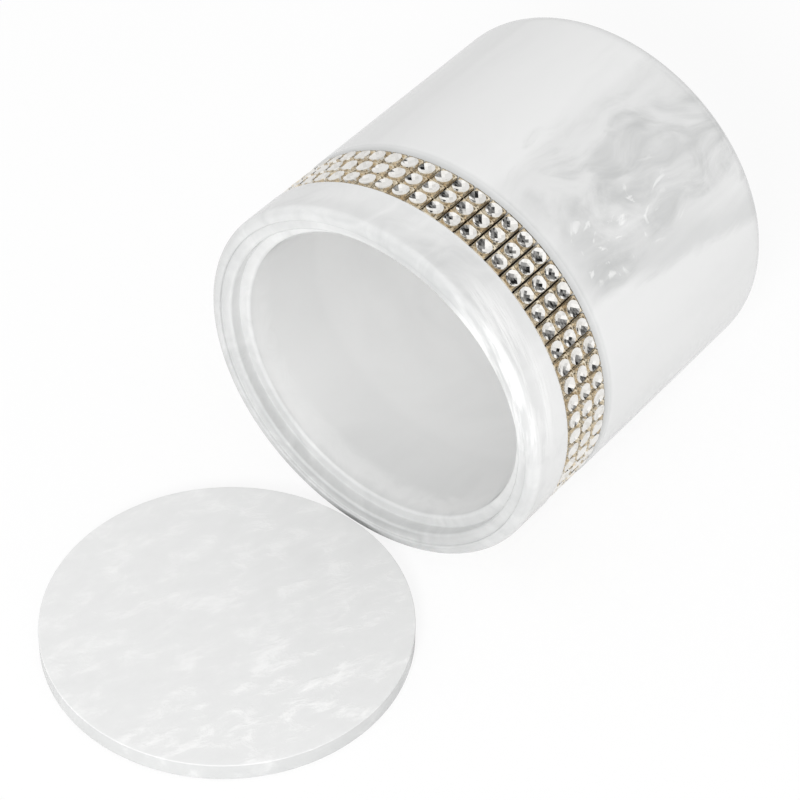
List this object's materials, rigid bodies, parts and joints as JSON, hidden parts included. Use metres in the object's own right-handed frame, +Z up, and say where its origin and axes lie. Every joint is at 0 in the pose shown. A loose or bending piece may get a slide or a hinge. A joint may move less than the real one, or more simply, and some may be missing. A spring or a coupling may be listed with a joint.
{
  "type": "cotton swab holder",
  "caption": "Round thick-walled resin jar lying on its side with a band of set stones round it near the mouth, and its flat loose lid lying in front; holds cotton swabs.",
  "frame": {"origin": "on the floor under the jar's axis, midway between the lid's far edge and the jar's base", "axes": "+Y along the jar's axis from the mouth to the base, +Z up from the floor that the jar and the lid lie on"},
  "size_m": [0.0909, 0.1772, 0.0899],
  "materials": {
    "pearl_resin": "polished pearl",
    "dark_tape": "matte",
    "set_stones": "cut and silvered"
  },
  "bodies": {
    "jar": {"jar_body": "pearl_resin", "band_backing": "dark_tape", "stone_strip_01": "set_stones", "stone_strip_02": "set_stones", "stone_strip_03": "set_stones", "stone_strip_04": "set_stones", "stone_strip_05": "set_stones", "stone_strip_06": "set_stones", "stone_strip_07": "set_stones", "stone_strip_08": "set_stones", "stone_strip_09": "set_stones", "stone_strip_10": "set_stones", "stone_strip_11": "set_stones", "stone_strip_12": "set_stones", "stone_strip_13": "set_stones", "stone_strip_14": "set_stones", "stone_strip_15": "set_stones", "stone_strip_16": "set_stones", "stone_strip_17": "set_stones", "stone_strip_18": "set_stones", "stone_strip_19": "set_stones", "stone_strip_20": "set_stones", "stone_strip_21": "set_stones", "stone_strip_22": "set_stones", "stone_strip_23": "set_stones", "stone_strip_24": "set_stones", "stone_strip_25": "set_stones", "stone_strip_26": "set_stones", "stone_strip_27": "set_stones", "stone_strip_28": "set_stones", "stone_strip_29": "set_stones", "stone_strip_30": "set_stones", "stone_strip_31": "set_stones"},
    "lid": {"lid": "pearl_resin"}
  },
  "joints": [
    {"name": "lid_lift", "type": "slide", "parent": "jar", "child": "lid", "axis": [0, 0, 1], "range_m": [0, 0.1]}
  ]
}
